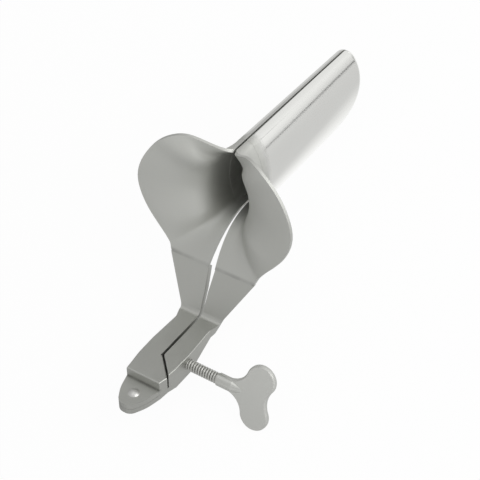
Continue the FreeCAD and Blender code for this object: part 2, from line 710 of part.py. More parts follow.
def wing_shape():
    """Bevelled plate with its shank, bored for the spigot and turned about the screw."""
    outline, plate_start = wing_outline()
    plate = Part.Face(outline).extrude(Vector(0, S.wing_metal, 0))
    plate.translate(Vector(0, -S.wing_metal / 2, 0))
    rims = []
    for edge in plate.Edges:
        ends = [vertex.Point for vertex in edge.Vertexes]
        flat = abs(ends[0].y - ends[-1].y) < 0.001
        if flat and max(p.x for p in ends) > plate_start + 0.01:
            rims.append(edge)
    plate = plate.makeChamfer(S.wing_bevel, rims)
    across = Vector(1, 0, 0)
    shank = Part.makeCylinder(S.shank_radius, plate_start + S.shank_radius - S.thread_end,
                              Vector(S.thread_end, 0, 0), across)
    nose = Part.makeCone(S.shank_radius, S.wing_metal / 2, 1.8 * S.shank_radius,
                         Vector(plate_start + S.shank_radius, 0, 0), across)
    bore = Part.makeCylinder(S.spigot_radius + S.spigot_clearance, S.spigot_length + S.spigot_clearance,
                             Vector(S.thread_end, 0, 0), across)
    solid = plate.fuse([shank, nose]).cut(bore).removeSplitter()
    solid.Placement = Placement(Vector(0, S.screw_y, S.screw_z), Rotation(across, -S.wing_turn))
    return solid.Solids[0]


screw_wing = add_shape("screw_wing", wing_shape())
doc.recompute()


# Turn the pieces level together, over the middle of their outline and up to their lowest point

pieces = [left_valve, right_valve, left_handle, right_handle, pivot_rivet, screw_spindle, screw_wing]
turned = Part.Compound([piece.Shape for piece in pieces])
turned.Placement = Placement(Vector(), table_turn)
outline = turned.optimalBoundingBox(False)
rest = Placement(Vector(-outline.Center.x, -outline.Center.y, -outline.ZMin), table_turn)
for piece in pieces:
    piece.Placement = rest.multiply(piece.Placement)
doc.recompute()

for feature in doc.Objects:
    if "Invalid" in feature.State or "Error" in feature.State:
        raise RuntimeError("%s did not build: %s" % (feature.Label, feature.State))
for piece in pieces:
    shape = piece.Shape
    if shape.isNull() or not shape.isValid() or len(shape.Solids) != 1:
        raise RuntimeError("%s is not one valid solid" % piece.Label)
    shape.Solids[0].exportStep("parts/%s.step" % piece.Label)
    box = shape.optimalBoundingBox(False)
    print("%s: %.1f mm3, %d faces, x %.2f to %.2f, y %.2f to %.2f, z %.2f to %.2f"
          % (piece.Label, shape.Volume, len(shape.Faces), box.XMin, box.XMax, box.YMin, box.YMax, box.ZMin, box.ZMax))
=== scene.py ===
"""Bivalve speculum in satin and polished steel, on a pale floor in soft light.

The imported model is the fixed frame. This script gives its pieces their finishes, cuts the screw's thread and
sets the stage. Everything is in metres.
"""

import math

import bpy
from bpy.props import FloatProperty, FloatVectorProperty, IntProperty, PointerProperty
from mathutils import Matrix, Vector


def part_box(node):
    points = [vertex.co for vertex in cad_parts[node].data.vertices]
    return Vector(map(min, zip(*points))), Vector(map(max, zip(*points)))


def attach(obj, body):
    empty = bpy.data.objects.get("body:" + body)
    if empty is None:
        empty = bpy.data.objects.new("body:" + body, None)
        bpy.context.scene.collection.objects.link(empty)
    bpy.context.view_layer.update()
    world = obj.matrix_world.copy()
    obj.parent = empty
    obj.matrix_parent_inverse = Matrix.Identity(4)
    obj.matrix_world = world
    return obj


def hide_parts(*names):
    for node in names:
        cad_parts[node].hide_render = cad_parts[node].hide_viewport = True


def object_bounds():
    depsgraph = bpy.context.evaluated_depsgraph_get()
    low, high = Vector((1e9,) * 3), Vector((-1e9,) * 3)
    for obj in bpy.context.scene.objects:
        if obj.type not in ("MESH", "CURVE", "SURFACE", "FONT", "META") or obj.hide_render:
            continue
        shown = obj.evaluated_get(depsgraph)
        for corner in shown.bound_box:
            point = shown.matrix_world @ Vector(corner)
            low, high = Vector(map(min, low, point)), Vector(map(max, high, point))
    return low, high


bl_info = {
    "name": "Bivalve speculum",
    "version": (1, 0, 0),
    "blender": (4, 5, 0),
    "location": "3D View > Sidebar > Speculum",
    "description": "Finishes, thread and stage of a bivalve speculum",
    "category": "Object",
}

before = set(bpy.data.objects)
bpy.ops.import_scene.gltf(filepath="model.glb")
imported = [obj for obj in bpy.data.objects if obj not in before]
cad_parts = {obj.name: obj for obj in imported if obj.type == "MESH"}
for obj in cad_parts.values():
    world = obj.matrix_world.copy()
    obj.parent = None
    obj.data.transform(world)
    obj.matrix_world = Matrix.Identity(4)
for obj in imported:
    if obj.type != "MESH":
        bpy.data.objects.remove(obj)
CAD_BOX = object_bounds()
MM = 0.001

# Lie of the part: the soles and the blades' tips are level, so the blades fall from the mouth by this slope
BLADE_SLOPE = 0.37532
# The screw's axis, from the notch of the mouth, before the part is turned level
SCREW_Y = -51.0 * MM
SCREW_Z = -77.8 * MM
# Creases that lie across the part, in the same frame, along Y and up, and how far the painted shade round each
# one reaches: the braze between valve and strap, and the foot of the step above the tongue
BRAZE_PLACE = (-19.6 * MM, -50.6 * MM)
BRAZE_REACH = 1.8 * MM
STEP_PLACE = (-70.6 * MM, -77.0 * MM)
STEP_REACH = 1.3 * MM


def notch_frame():
    """Turn and place of the part's own frame: origin at the mouth's notch, Y along the split, Z up."""
    turn = Matrix.Rotation(-math.atan(BLADE_SLOPE), 4, "X")
    rivet_low, rivet_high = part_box("pivot_rivet")
    screw_low, screw_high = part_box("screw_spindle")
    axis = turn @ Vector((0, SCREW_Y, SCREW_Z))
    place = Vector((
        (rivet_low[0] + rivet_high[0]) / 2,
        (screw_low[1] + screw_high[1]) / 2 - axis.y,
        (screw_low[2] + screw_high[2]) / 2 - axis.z,
    ))
    return Matrix.Translation(place) @ turn


NOTCH = notch_frame()


# Sizes and colours a user may change

class ValveSizes(bpy.types.PropertyGroup):
    satin: FloatVectorProperty(
        name="Satin steel", description="Colour of the flared mouth", subtype="COLOR",
        size=3, min=0, max=1, default=(0.615, 0.62, 0.59))
    polish: FloatVectorProperty(
        name="Polished steel", description="Colour of the blade's outside", subtype="COLOR",
        size=3, min=0, max=1, default=(0.85, 0.852, 0.825))
    satin_roughness: FloatProperty(
        name="Satin roughness", description="Roughness of the mouth", subtype="FACTOR",
        min=0, max=1, default=0.55)
    polish_roughness: FloatProperty(
        name="Polish roughness", description="Roughness of the blade's outside", subtype="FACTOR",
        min=0, max=1, default=0.12)
    polish_start: FloatProperty(
        name="Polish start", description="Where the polish begins, from the notch along the blade",
        unit="LENGTH", default=9 * MM)
    polish_end: FloatProperty(
        name="Full polish", description="Where the polish is full", unit="LENGTH", default=15 * MM)


class ForgingSizes(bpy.types.PropertyGroup):
    satin: FloatVectorProperty(
        name="Satin steel", description="Colour of the handles", subtype="COLOR",
        size=3, min=0, max=1, default=(0.545, 0.55, 0.52))
    roughness: FloatProperty(
        name="Roughness", description="Roughness of the handles", subtype="FACTOR",
        min=0, max=1, default=0.46)
    rivet: FloatVectorProperty(
        name="Rivet steel", description="Colour of the rivet", subtype="COLOR",
        size=3, min=0, max=1, default=(0.70, 0.70, 0.68))


class ThreadSizes(bpy.types.PropertyGroup):
    pitch: FloatProperty(
        name="Pitch", description="Advance in one turn", unit="LENGTH", default=1.25 * MM)
    depth: FloatProperty(
        name="Depth", description="Depth of the thread", unit="LENGTH", default=0.68 * MM)
    chamfer: FloatProperty(
        name="Point", description="Length of the chamfered point", unit="LENGTH", default=0.7 * MM)
    shank: FloatProperty(
        name="Spigot radius", description="Radius of the spigot that the wing holds",
        unit="LENGTH", default=1.4 * MM)
    spigot: FloatProperty(
        name="Spigot length", description="Length of the spigot", unit="LENGTH", default=4.0 * MM)
    round_steps: IntProperty(
        name="Steps round", description="Faces round the screw", min=12, max=96, default=40)
    turn_steps: IntProperty(
        name="Steps per pitch", description="Rings of faces in one pitch", min=6, max=24, default=12)
    steel: FloatVectorProperty(
        name="Screw steel", description="Colour of the thread", subtype="COLOR",
        size=3, min=0, max=1, default=(0.66, 0.66, 0.63))


class WingSizes(bpy.types.PropertyGroup):
    satin: FloatVectorProperty(
        name="Satin steel", description="Colour of the wing", subtype="COLOR",
        size=3, min=0, max=1, default=(0.66, 0.665, 0.635))
    roughness: FloatProperty(
        name="Roughness", description="Roughness of the wing", subtype="FACTOR",
        min=0, max=1, default=0.46)


class StageSizes(bpy.types.PropertyGroup):
    lens: FloatProperty(
        name="Lens", description="Focal length in millimetres on a 36 mm sensor", default=90.0)
    floor_size: FloatProperty(
        name="Floor", description="Side of the floor", unit="LENGTH", default=6.0)
    ambient: FloatProperty(
        name="Ambient", description="Level of the surroundings' light", default=0.63)
    key_power: FloatProperty(
        name="Key", description="Power of the lamp on the right, in watts", default=4.0)
    top_power: FloatProperty(
        name="Top", description="Power of the lamp above, in watts", default=1.2)
    rim_power: FloatProperty(
        name="Rim", description="Power of the low, wide lamp behind, in watts", default=1.0)


# Nodes that the finishes, the thread and the stage share

def math_node(tree, operation, *values):
    """Math node fed by one or two sockets or plain numbers."""
    node = tree.nodes.new("ShaderNodeMath")
    node.operation = operation
    for value, socket in zip(values, node.inputs):
        if isinstance(value, (int, float)):
            socket.default_value = value
        else:
            tree.links.new(value, socket)
    return node.outputs[0]


def total(tree, first, *others):
    for value in others:
        first = math_node(tree, "ADD", first, value)
    return first


def product(tree, first, *others):
    for value in others:
        first = math_node(tree, "MULTIPLY", first, value)
    return first


def less(tree, first, second):
    return math_node(tree, "SUBTRACT", first, second)


def swing(tree, noise, reach):
    """Noise between 0 and 1 turned into a swing about 0, this far from end to end."""
    return product(tree, less(tree, noise, 0.5), reach)


def split(tree, vector):
    """The three parts of a vector, as sockets named X, Y and Z."""
    node = tree.nodes.new("ShaderNodeSeparateXYZ")
    tree.links.new(vector, node.inputs[0])
    return node.outputs


def map_range(tree, value, low, high, to_low, to_high, smooth=False):
    node = tree.nodes.new("ShaderNodeMapRange")
    node.interpolation_type = "SMOOTHSTEP" if smooth else "LINEAR"
    tree.links.new(value, node.inputs["Value"])
    for label, number in (("From Min", low), ("From Max", high), ("To Min", to_low), ("To Max", to_high)):
        node.inputs[label].default_value = number
    return node.outputs["Result"]


def noise_node(tree, vector, scale, detail, roughness=0.5):
    """Noise with so many spots in a metre, or with a number for each axis."""
    if isinstance(scale, tuple):
        drawn_out = tree.nodes.new("ShaderNodeMapping")
        drawn_out.inputs["Scale"].default_value = scale
        tree.links.new(vector, drawn_out.inputs["Vector"])
        vector, scale = drawn_out.outputs["Vector"], 1.0
    node = tree.nodes.new("ShaderNodeTexNoise")
    node.inputs["Scale"].default_value = scale
    node.inputs["Detail"].default_value = detail
    node.inputs["Roughness"].default_value = roughness
    tree.links.new(vector, node.inputs["Vector"])
    return node.outputs["Fac"]


def tinted(tree, colour, factor):
    """Colour made lighter or darker by a factor around 1."""
    node = tree.nodes.new("ShaderNodeVectorMath")
    node.operation = "SCALE"
    tree.links.new(colour, node.inputs[0])
    tree.links.new(factor, node.inputs["Scale"])
    return node.outputs["Vector"]


def blended(tree, kind, share, first, second):
    """Mix of two colours or two numbers, as the kind, Color or Float, says."""
    node = tree.nodes.new("ShaderNodeMix")
    node.data_type = "RGBA" if kind == "Color" else "FLOAT"
    sockets = {socket.identifier: socket for socket in (*node.inputs, *node.outputs)}
    tree.links.new(share, sockets["Factor_Float"])
    tree.links.new(first, sockets["A_" + kind])
    tree.links.new(second, sockets["B_" + kind])
    return sockets["Result_" + kind]


def mixed_shaders(tree, share, first, second):
    node = tree.nodes.new("ShaderNodeMixShader")
    tree.links.new(share, node.inputs["Fac"])
    tree.links.new(first, node.inputs[1])
    tree.links.new(second, node.inputs[2])
    return node.outputs[0]


# Shader groups of the two finishes

# Spots of each noise in a metre; three numbers draw it out into lines along the part or across it
SATIN_CLOUDS = 90
SATIN_GRAIN = 5200
SATIN_LINES = (2600, 160, 2600)
POLISH_SMEARS = 45
POLISH_BUFFING = (1900, 60, 1900)
POLISH_SCRATCHES = (300, 5200, 900)
# Swings that they give the finishes: share of the colour, then roughness
SATIN_LINE_TINT = 0.05
POLISH_SMEAR_TINT = 0.05
POLISH_BUFFING_TINT = 0.05
SATIN_GRAIN_ROUGHNESS = 0.14
SATIN_CLOUD_ROUGHNESS = 0.16
POLISH_SMEAR_ROUGHNESS = 0.10
# A scratch is where its noise passes this band; it adds this much roughness
SCRATCH_BAND = (0.68, 0.74)
SCRATCH_ROUGHNESS = 0.08
# Shares of the lines and the buffing in their finish's height, and of the polish in the height of the valves
SATIN_LINE_HEIGHT = 0.35
POLISH_BUFFING_HEIGHT = 0.3
POLISH_HEIGHT = 0.25
# Height of the grain, on the pieces and on the thread
GRAIN_DEPTH = 0.004 * MM
THREAD_GRAIN_DEPTH = 0.001 * MM


def group_with(name, inputs):
    """New shader group, the sockets it is given and those it has to fill: colour, roughness and height."""
    group = bpy.data.node_groups.new(name, "ShaderNodeTree")
    for label, kind, value in inputs:
        socket = group.interface.new_socket(name=label, in_out="INPUT", socket_type=kind)
        if value is not None:
            socket.default_value = value
    outputs = {"Color": "NodeSocketColor", "Roughness": "NodeSocketFloat", "Height": "NodeSocketFloat"}
    for label, kind in outputs.items():
        group.interface.new_socket(name=label, in_out="OUTPUT", socket_type=kind)
    return group, group.nodes.new("NodeGroupInput").outputs, group.nodes.new("NodeGroupOutput").inputs


def satin_group():
    """Bead-blasted and brushed steel: soft mottling, a fine grain and faint lines along the part."""
    group, given, result = group_with("satin_steel", (
        ("Vector", "NodeSocketVector", None), ("Color", "NodeSocketColor", (0.6, 0.6, 0.6, 1)),
        ("Roughness", "NodeSocketFloat", 0.4), ("Mottle", "NodeSocketFloat", 0.06),
        ("Grain", "NodeSocketFloat", 0.5)))
    cloud = noise_node(group, given["Vector"], SATIN_CLOUDS, detail=4)
    grain = noise_node(group, given["Vector"], SATIN_GRAIN, detail=2)
    lines = noise_node(group, given["Vector"], SATIN_LINES, detail=3)
    factor = total(group, swing(group, cloud, given["Mottle"]), swing(group, lines, SATIN_LINE_TINT), 1.0)
    rough = total(group, given["Roughness"],
                  swing(group, grain, SATIN_GRAIN_ROUGHNESS), swing(group, cloud, SATIN_CLOUD_ROUGHNESS))
    height = total(group, product(group, grain, given["Grain"]), product(group, lines, SATIN_LINE_HEIGHT))
    group.links.new(tinted(group, given["Color"], factor), result["Color"])
    group.links.new(rough, result["Roughness"])
    group.links.new(height, result["Height"])
    return group


def polish_group():
    """Mirror-polished steel: faint buffing lines, a few hairline scratches and dull smears."""
    group, given, result = group_with("polished_steel", (
        ("Vector", "NodeSocketVector", None), ("Color", "NodeSocketColor", (0.8, 0.8, 0.8, 1)),
        ("Roughness", "NodeSocketFloat", 0.15)))
    smear = noise_node(group, given["Vector"], POLISH_SMEARS, detail=3)
    buffing = noise_node(group, given["Vector"], POLISH_BUFFING, detail=4, roughness=0.6)
    scratch = noise_node(group, given["Vector"], POLISH_SCRATCHES, detail=1)
    hair = map_range(group, scratch, *SCRATCH_BAND, 0.0, 1.0, smooth=True)
    factor = total(group, swing(group, smear, POLISH_SMEAR_TINT),
                   swing(group, buffing, POLISH_BUFFING_TINT), 1.0)
    rough = total(group, given["Roughness"],
                  swing(group, smear, POLISH_SMEAR_ROUGHNESS), product(group, hair, SCRATCH_ROUGHNESS))
    height = total(group, product(group, buffing, POLISH_BUFFING_HEIGHT), hair)
    group.links.new(tinted(group, given["Color"], factor), result["Color"])
    group.links.new(rough, result["Roughness"])
    group.links.new(height, result["Height"])
    return group


def placed_group(tree, name, build, vector, values):
    """Shared group put in a material, with its own values; the first use builds it."""
    node = tree.nodes.new("ShaderNodeGroup")
    node.node_tree = bpy.data.node_groups.get(name) or build()
    tree.links.new(vector, node.inputs["Vector"])
    for label, value in values.items():
        node.inputs[label].default_value = value
    return node.outputs


# Materials

# Painted shade along a crease, uneven along it: how far it is full to each side, the spots of its noise in a
# metre, and the share of the colour that it takes where the noise is low and high
CREASE_CORE = 0.3 * MM
CREASE_SPOTS = 120
CREASE_BAND = (0.35, 0.65)
CREASE_PAINTED_SHADE = (0.18, 0.42)
# Painted shade in the grooves: radii on the thread between which it fades out, and the colour's factor below
# the first one
GROOVE_BAND = (1.9 * MM, 2.4 * MM)
GROOVE_PAINTED_SHADE = 0.6
# Border between satin and polish on the valves: spots of its noise in a metre and how far it wanders
BORDER_SPOTS = 160
BORDER_WANDER = 3 * MM
# How far outwards a valve's face looks, by the sideways part of its normal, where polish begins and is full
OUTSIDE_BAND = (-0.2, 0.05)


def new_material(name):
    """Empty metal, its node tree and shader, and the coordinates in the part's own frame."""
    material = bpy.data.materials.new(name)
    material.use_nodes = True
    tree = material.node_tree
    tree.nodes.clear()
    output = tree.nodes.new("ShaderNodeOutputMaterial")
    shader = tree.nodes.new("ShaderNodeBsdfPrincipled")
    tree.links.new(shader.outputs["BSDF"], output.inputs["Surface"])
    shader.inputs["Metallic"].default_value = 1.0
    own = tree.nodes.new("ShaderNodeMapping")
    back = NOTCH.inverted()
    own.inputs["Location"].default_value = back.to_translation()
    own.inputs["Rotation"].default_value = back.to_euler()
    tree.links.new(tree.nodes.new("ShaderNodeTexCoord").outputs["Object"], own.inputs["Vector"])
    return material, tree, shader, own.outputs["Vector"]


def finish_with(tree, shader, colour, roughness, height, depth):
    """Join a finish to the shader; its height, made this deep, becomes a bump."""
    tree.links.new(colour, shader.inputs["Base Color"])
    tree.links.new(roughness, shader.inputs["Roughness"])
    bump = tree.nodes.new("ShaderNodeBump")
    bump.inputs["Strength"].default_value = 1.0
    bump.inputs["Distance"].default_value = depth
    tree.links.new(height, bump.inputs["Height"])
    tree.links.new(bump.outputs["Normal"], shader.inputs["Normal"])


def satin_material(name, colour, roughness, mottle, grain, depth=GRAIN_DEPTH, painted_shading=None):
    """Satin steel, darkened by painted shade from a function of the tree and the coordinates, if it has one.
    """
    material, tree, shader, own = new_material(name)
    steel = placed_group(tree, "satin_steel", satin_group, own, {
        "Color": (*colour, 1), "Roughness": roughness, "Mottle": mottle, "Grain": grain})
    shade = steel["Color"]
    if painted_shading:
        shade = tinted(tree, shade, painted_shading(tree, own))
    finish_with(tree, shader, shade, steel["Roughness"], steel["Height"], depth)
    return material


def distance_from(tree, own, place):
    """Distance from a line that runs across the part, at a place along Y and up."""
    spot = split(tree, own)
    squares = []
    for axis, middle in zip("YZ", place):
        off = less(tree, spot[axis], middle)
        squares.append(product(tree, off, off))
    return math_node(tree, "SQRT", total(tree, *squares))


def painted_crease_shade(tree, own, place, reach):
    """Factor of painted shade that darkens the steel round a crease."""
    band = map_range(tree, distance_from(tree, own, place), CREASE_CORE, reach, 1.0, 0.0, smooth=True)
    noise = noise_node(tree, own, CREASE_SPOTS, detail=3)
    painted_shade = map_range(tree, noise, *CREASE_BAND, *CREASE_PAINTED_SHADE)
    return less(tree, 1.0, product(tree, band, painted_shade))


def painted_step_shade(tree, own):
    """Factor of painted shade at the foot of the step above the tongue."""
    return painted_crease_shade(tree, own, STEP_PLACE, STEP_REACH)


def painted_groove_shade(tree, own):
    """Factor of painted shade in the grooves of the thread."""
    radius = distance_from(tree, own, (SCREW_Y, SCREW_Z))
    return map_range(tree, radius, *GROOVE_BAND, GROOVE_PAINTED_SHADE, 1.0, smooth=True)


def valve_material(sizes):
    """Satin in the mouth and inside the blade, polished outside, with a soft border between them."""
    material, tree, shader, own = new_material("valve_steel")
    satin = placed_group(tree, "satin_steel", satin_group, own, {
        "Color": (*sizes.satin, 1), "Roughness": sizes.satin_roughness})
    polish = placed_group(tree, "polished_steel", polish_group, own, {
        "Color": (*sizes.polish, 1), "Roughness": sizes.polish_roughness})
    spot = split(tree, own)
    along = total(tree, spot["Y"], swing(tree, noise_node(tree, own, BORDER_SPOTS, detail=2), BORDER_WANDER))
    past_mouth = map_range(tree, along, sizes.polish_start, sizes.polish_end, 0.0, 1.0, smooth=True)
    facing = split(tree, tree.nodes.new("ShaderNodeTexCoord").outputs["Normal"])
    outwards = product(tree, facing["X"], math_node(tree, "SIGN", spot["X"]))
    share = product(tree, past_mouth, map_range(tree, outwards, *OUTSIDE_BAND, 0.0, 1.0, smooth=True))
    colour = blended(tree, "Color", share, satin["Color"], polish["Color"])
    # Painted shade along the braze crease between valve and strap
    colour = tinted(tree, colour, painted_crease_shade(tree, own, BRAZE_PLACE, BRAZE_REACH))
    roughness = blended(tree, "Float", share, satin["Roughness"], polish["Roughness"])
    height = total(tree, product(tree, satin["Height"], less(tree, 1.0, share)),
                   product(tree, polish["Height"], share, POLISH_HEIGHT))
    finish_with(tree, shader, colour, roughness, height, GRAIN_DEPTH)
    return material


def finish_node(name, material):
    """Give a CAD piece its finish on all its material slots."""
    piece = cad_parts[name]
    if not piece.material_slots:
        piece.data.materials.append(material)
    for holder in piece.material_slots:
        holder.material = material


# The pieces

class SPECULUM_OT_valves(bpy.types.Operator):
    """Finish the two valves: satin mouth, polished blade"""
    bl_idname = "speculum.valves"
    bl_label = "Valves"

    def execute(self, context):
        material = valve_material(context.scene.speculum_valves)
        for name in ("left_valve", "right_valve"):
            finish_node(name, material)
        return {"FINISHED"}


class SPECULUM_OT_handles(bpy.types.Operator):
    """Finish the two forged handles and the rivet"""
    bl_idname = "speculum.handles"
    bl_label = "Handles and rivet"

    def execute(self, context):
        sizes = context.scene.speculum_forgings
        # The handles get painted shade at the foot of the step
        forged = satin_material(
            "forged_satin", sizes.satin, sizes.roughness, mottle=0.09, grain=0.8, painted_shading=painted_step_shade)
        for name in ("left_handle", "right_handle"):
            finish_node(name, forged)
        finish_node("pivot_rivet", satin_material(
            "rivet_steel", sizes.rivet, roughness=0.44, mottle=0.08, grain=0.3))
        return {"FINISHED"}


# Flank of the thread: where it starts and ends between the crest, at 0, and the middle of the groove, at 1
FLANK_BAND = (0.35, 0.9)
# The thread runs out between these distances from the spigot
RUN_OUT_BAND = (0.3 * MM, 1.2 * MM)


def thread_tree():
    """Geometry nodes of the screw: a rod whose radius follows the thread, with its point and its spigot."""
    tree = bpy.data.node_groups.new("screw_thread", "GeometryNodeTree")
    tree.interface.new_socket(name="Geometry", in_out="OUTPUT", socket_type="NodeSocketGeometry")
    sockets = {
        "NodeSocketFloat": ("Radius", "Length", "Spigot Length", "Spigot Radius", "Pitch", "Depth", "Point"),
        "NodeSocketInt": ("Steps Round", "Rings"),
        "NodeSocketMaterial": ("Material",),
    }
    for kind, labels in sockets.items():
        for label in labels:
            tree.interface.new_socket(name=label, in_out="INPUT", socket_type=kind)
    given = tree.nodes.new("NodeGroupInput").outputs
    result = tree.nodes.new("NodeGroupOutput")
    link = tree.links.new

    # A rod of radius 1, with places on it counted from the point
    whole = total(tree, given["Length"], given["Spigot Length"])
    rod = tree.nodes.new("GeometryNodeMeshCylinder")
    rod.fill_type = "NGON"
    rod.inputs["Radius"].default_value = 1.0
    link(given["Steps Round"], rod.inputs["Vertices"])
    link(given["Rings"], rod.inputs["Side Segments"])
    link(whole, rod.inputs["Depth"])
    spot = split(tree, tree.nodes.new("GeometryNodeInputPosition").outputs[0])
    along = total(tree, spot["Z"], product(tree, whole, 0.5))

    # The radius of the thread there
    turn = math_node(tree, "DIVIDE", math_node(tree, "ARCTAN2", spot["Y"], spot["X"]), 2 * math.pi)
    phase = math_node(tree, "FRACT", less(tree, math_node(tree, "DIVIDE", along, given["Pitch"]), turn))
    from_crest = math_node(tree, "ABSOLUTE", less(tree, product(tree, phase, 2.0), 1.0))
    flank = map_range(tree, from_crest, *FLANK_BAND, 0.0, 1.0)
    run_out = map_range(tree, less(tree, given["Length"], along), *RUN_OUT_BAND, 0.0, 1.0)
    threaded = less(tree, given["Radius"], product(tree, flank, given["Depth"], run_out))

    # The smaller radii of the point and, past the thread, of the spigot
    pointed = total(tree, less(tree, given["Radius"], given["Point"]), along)
    screw = math_node(tree, "MINIMUM", threaded, pointed)
    past = math_node(tree, "GREATER_THAN", along, given["Length"])
    radius = less(tree, screw, product(tree, past, less(tree, screw, given["Spigot Radius"])))

    # The rod laid along X with that radius
    place = tree.nodes.new("ShaderNodeCombineXYZ")
    link(along, place.inputs["X"])
    link(product(tree, spot["X"], radius), place.inputs["Y"])
    link(product(tree, spot["Y"], radius), place.inputs["Z"])
    moved = tree.nodes.new("GeometryNodeSetPosition")
    link(rod.outputs["Mesh"], moved.inputs["Geometry"])
    link(place.outputs[0], moved.inputs["Position"])
    solid = tree.nodes.new("GeometryNodeRealizeInstances")
    link(moved.outputs[0], solid.inputs[0])
    steel = tree.nodes.new("GeometryNodeSetMaterial")
    link(solid.outputs[0], steel.inputs["Geometry"])
    link(given["Material"], steel.inputs["Material"])
    link(steel.outputs[0], result.inputs[0])
    return tree


def grown(name, tree, values):
    """Plain mesh object made by a geometry node tree with these inputs."""
    seed = bpy.data.objects.new(name + "_seed", bpy.data.meshes.new(name + "_seed"))
    bpy.context.scene.collection.objects.link(seed)
    modifier = seed.modifiers.new("grow", "NODES")
    modifier.node_group = tree
    for socket in tree.interface.items_tree:
        if socket.in_out == "INPUT":
            modifier[socket.identifier] = values[socket.name]
    bpy.context.view_layer.update()
    shown = seed.evaluated_get(bpy.context.evaluated_depsgraph_get())
    mesh = bpy.data.meshes.new_from_object(shown)
    mesh.name = name
    bpy.data.objects.remove(seed)
    piece = bpy.data.objects.new(name, mesh)
    bpy.context.scene.collection.objects.link(piece)
    return piece


class SPECULUM_OT_screw(bpy.types.Operator):
    """Cut the thread of the thumb screw"""
    bl_idname = "speculum.screw"
    bl_label = "Threaded spindle"

    def execute(self, context):
        sizes = context.scene.speculum_thread
        low, high = (Vector(corner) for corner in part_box("screw_spindle"))
        length = high.x - low.x - sizes.spigot
        rings = round((length + sizes.spigot) / sizes.pitch * sizes.turn_steps)
        # The thread gets painted shade in its grooves
        steel = satin_material(
            "screw_steel", sizes.steel, roughness=0.55, mottle=0.05, grain=0.1,
            depth=THREAD_GRAIN_DEPTH, painted_shading=painted_groove_shade)
        screw = grown("threaded_spindle", thread_tree(), {
            "Radius": (high.z - low.z) / 2, "Length": length, "Spigot Length": sizes.spigot,
            "Spigot Radius": sizes.shank, "Pitch": sizes.pitch, "Depth": sizes.depth, "Point": sizes.chamfer,
            "Steps Round": sizes.round_steps, "Rings": rings, "Material": steel})
        middle = (low + high) / 2
        screw.data.transform(Matrix.Translation((low.x, middle.y, middle.z)))
        screw.data.shade_smooth()
        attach(screw, "screw_travel")
        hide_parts("screw_spindle")
        return {"FINISHED"}


class SPECULUM_OT_wing(bpy.types.Operator):
    """Finish the wing of the thumb screw"""
    bl_idname = "speculum.wing"
    bl_label = "Wing"

    def execute(self, context):
        sizes = context.scene.speculum_wing
        finish_node("screw_wing", satin_material(
            "wing_satin", sizes.satin, sizes.roughness, mottle=0.05, grain=0.6))
        return {"FINISHED"}


# The stage

# Camera in the part's own frame, in millimetres: its place, and its axes to the right, down and forward
CAMERA_PLACE = (218.2, -335.0, 295.6)
CAMERA_RIGHT = (0.8396, 0.5432, 0.0022)
CAMERA_DOWN = (0.3563, -0.5475, -0.7572)
CAMERA_FORWARD = (-0.4101, 0.6365, -0.6532)
SENSOR_WIDTH = 36.0
CLIP_START = 0.01
# Lamps: name, place from the middle of the part, and size
LAMPS = (
    ("key", (0.75, 0.25, 0.55), (0.7, 0.9)),
    ("rim", (0.20, 1.07, 0.31), (1.3, 0.65)),
    ("top", (-0.15, 0.25, 1.0), (0.9, 0.9)),
)
# The surroundings' light grows to the right, and towards the back and upwards it falls
WORLD_TO_RIGHT = 0.10
WORLD_BACK_AND_UP = -0.15
# Share of plain white in the floor that the camera sees; the rest shows the part's shadow
FLOOR_WHITE = 0.95
# What the steel mirrors of the floor: ramps from one place to another, each with its brightness at both ends.
# Near and beyond rise along X + Y, towards the far right, up to the part and past it. Front falls along Y
# before the handles. A bright band under the blades begins at the mouth and fades to both sides.
NEAR_RAMP = (-0.25, 0.02, 0.25, 0.69)
BEYOND_RAMP = (0.12, 0.6, 0.0, 0.30)
FRONT_RAMP = (-0.30, -0.11, 1.0, 0.0)
BLADE_MIDDLE = -0.005
ASIDE_RAMP = (0.003, 0.027, 0.34, 0.0)
UNDER_RAMP = (0.0, 0.03, 0.0, 1.0)
# Dark strip on the floor: its ends, its width and its height above the floor
STRIP_ENDS = ((0.036, 0.188), (0.181, 0.139))
STRIP_WIDTH = 0.014
STRIP_LIFT = 0.5 * MM


def lamp(name, place, target, size, power):
    """White rectangular lamp at a place, facing a target."""
    data = bpy.data.lights.new(name, "AREA")
    data.shape = "RECTANGLE"
    data.size, data.size_y = size
    data.energy = power
    holder = bpy.data.objects.new(name, data)
    bpy.context.scene.collection.objects.link(holder)
    turn = (target - place).to_track_quat("-Z", "Y").to_matrix().to_4x4()
    holder.matrix_world = Matrix.Translation(place) @ turn


def photo_camera(lens):
    data = bpy.data.cameras.new("photo_camera")
    data.lens = lens
    data.sensor_width = SENSOR_WIDTH
    data.clip_start = CLIP_START
    camera = bpy.data.objects.new("photo_camera", data)
    bpy.context.scene.collection.objects.link(camera)
    axes = Matrix((Vector(CAMERA_RIGHT), -Vector(CAMERA_DOWN), -Vector(CAMERA_FORWARD))).transposed()
    camera.matrix_world = NOTCH @ Matrix.Translation(Vector(CAMERA_PLACE) * MM) @ axes.to_4x4()
    bpy.context.scene.camera = camera


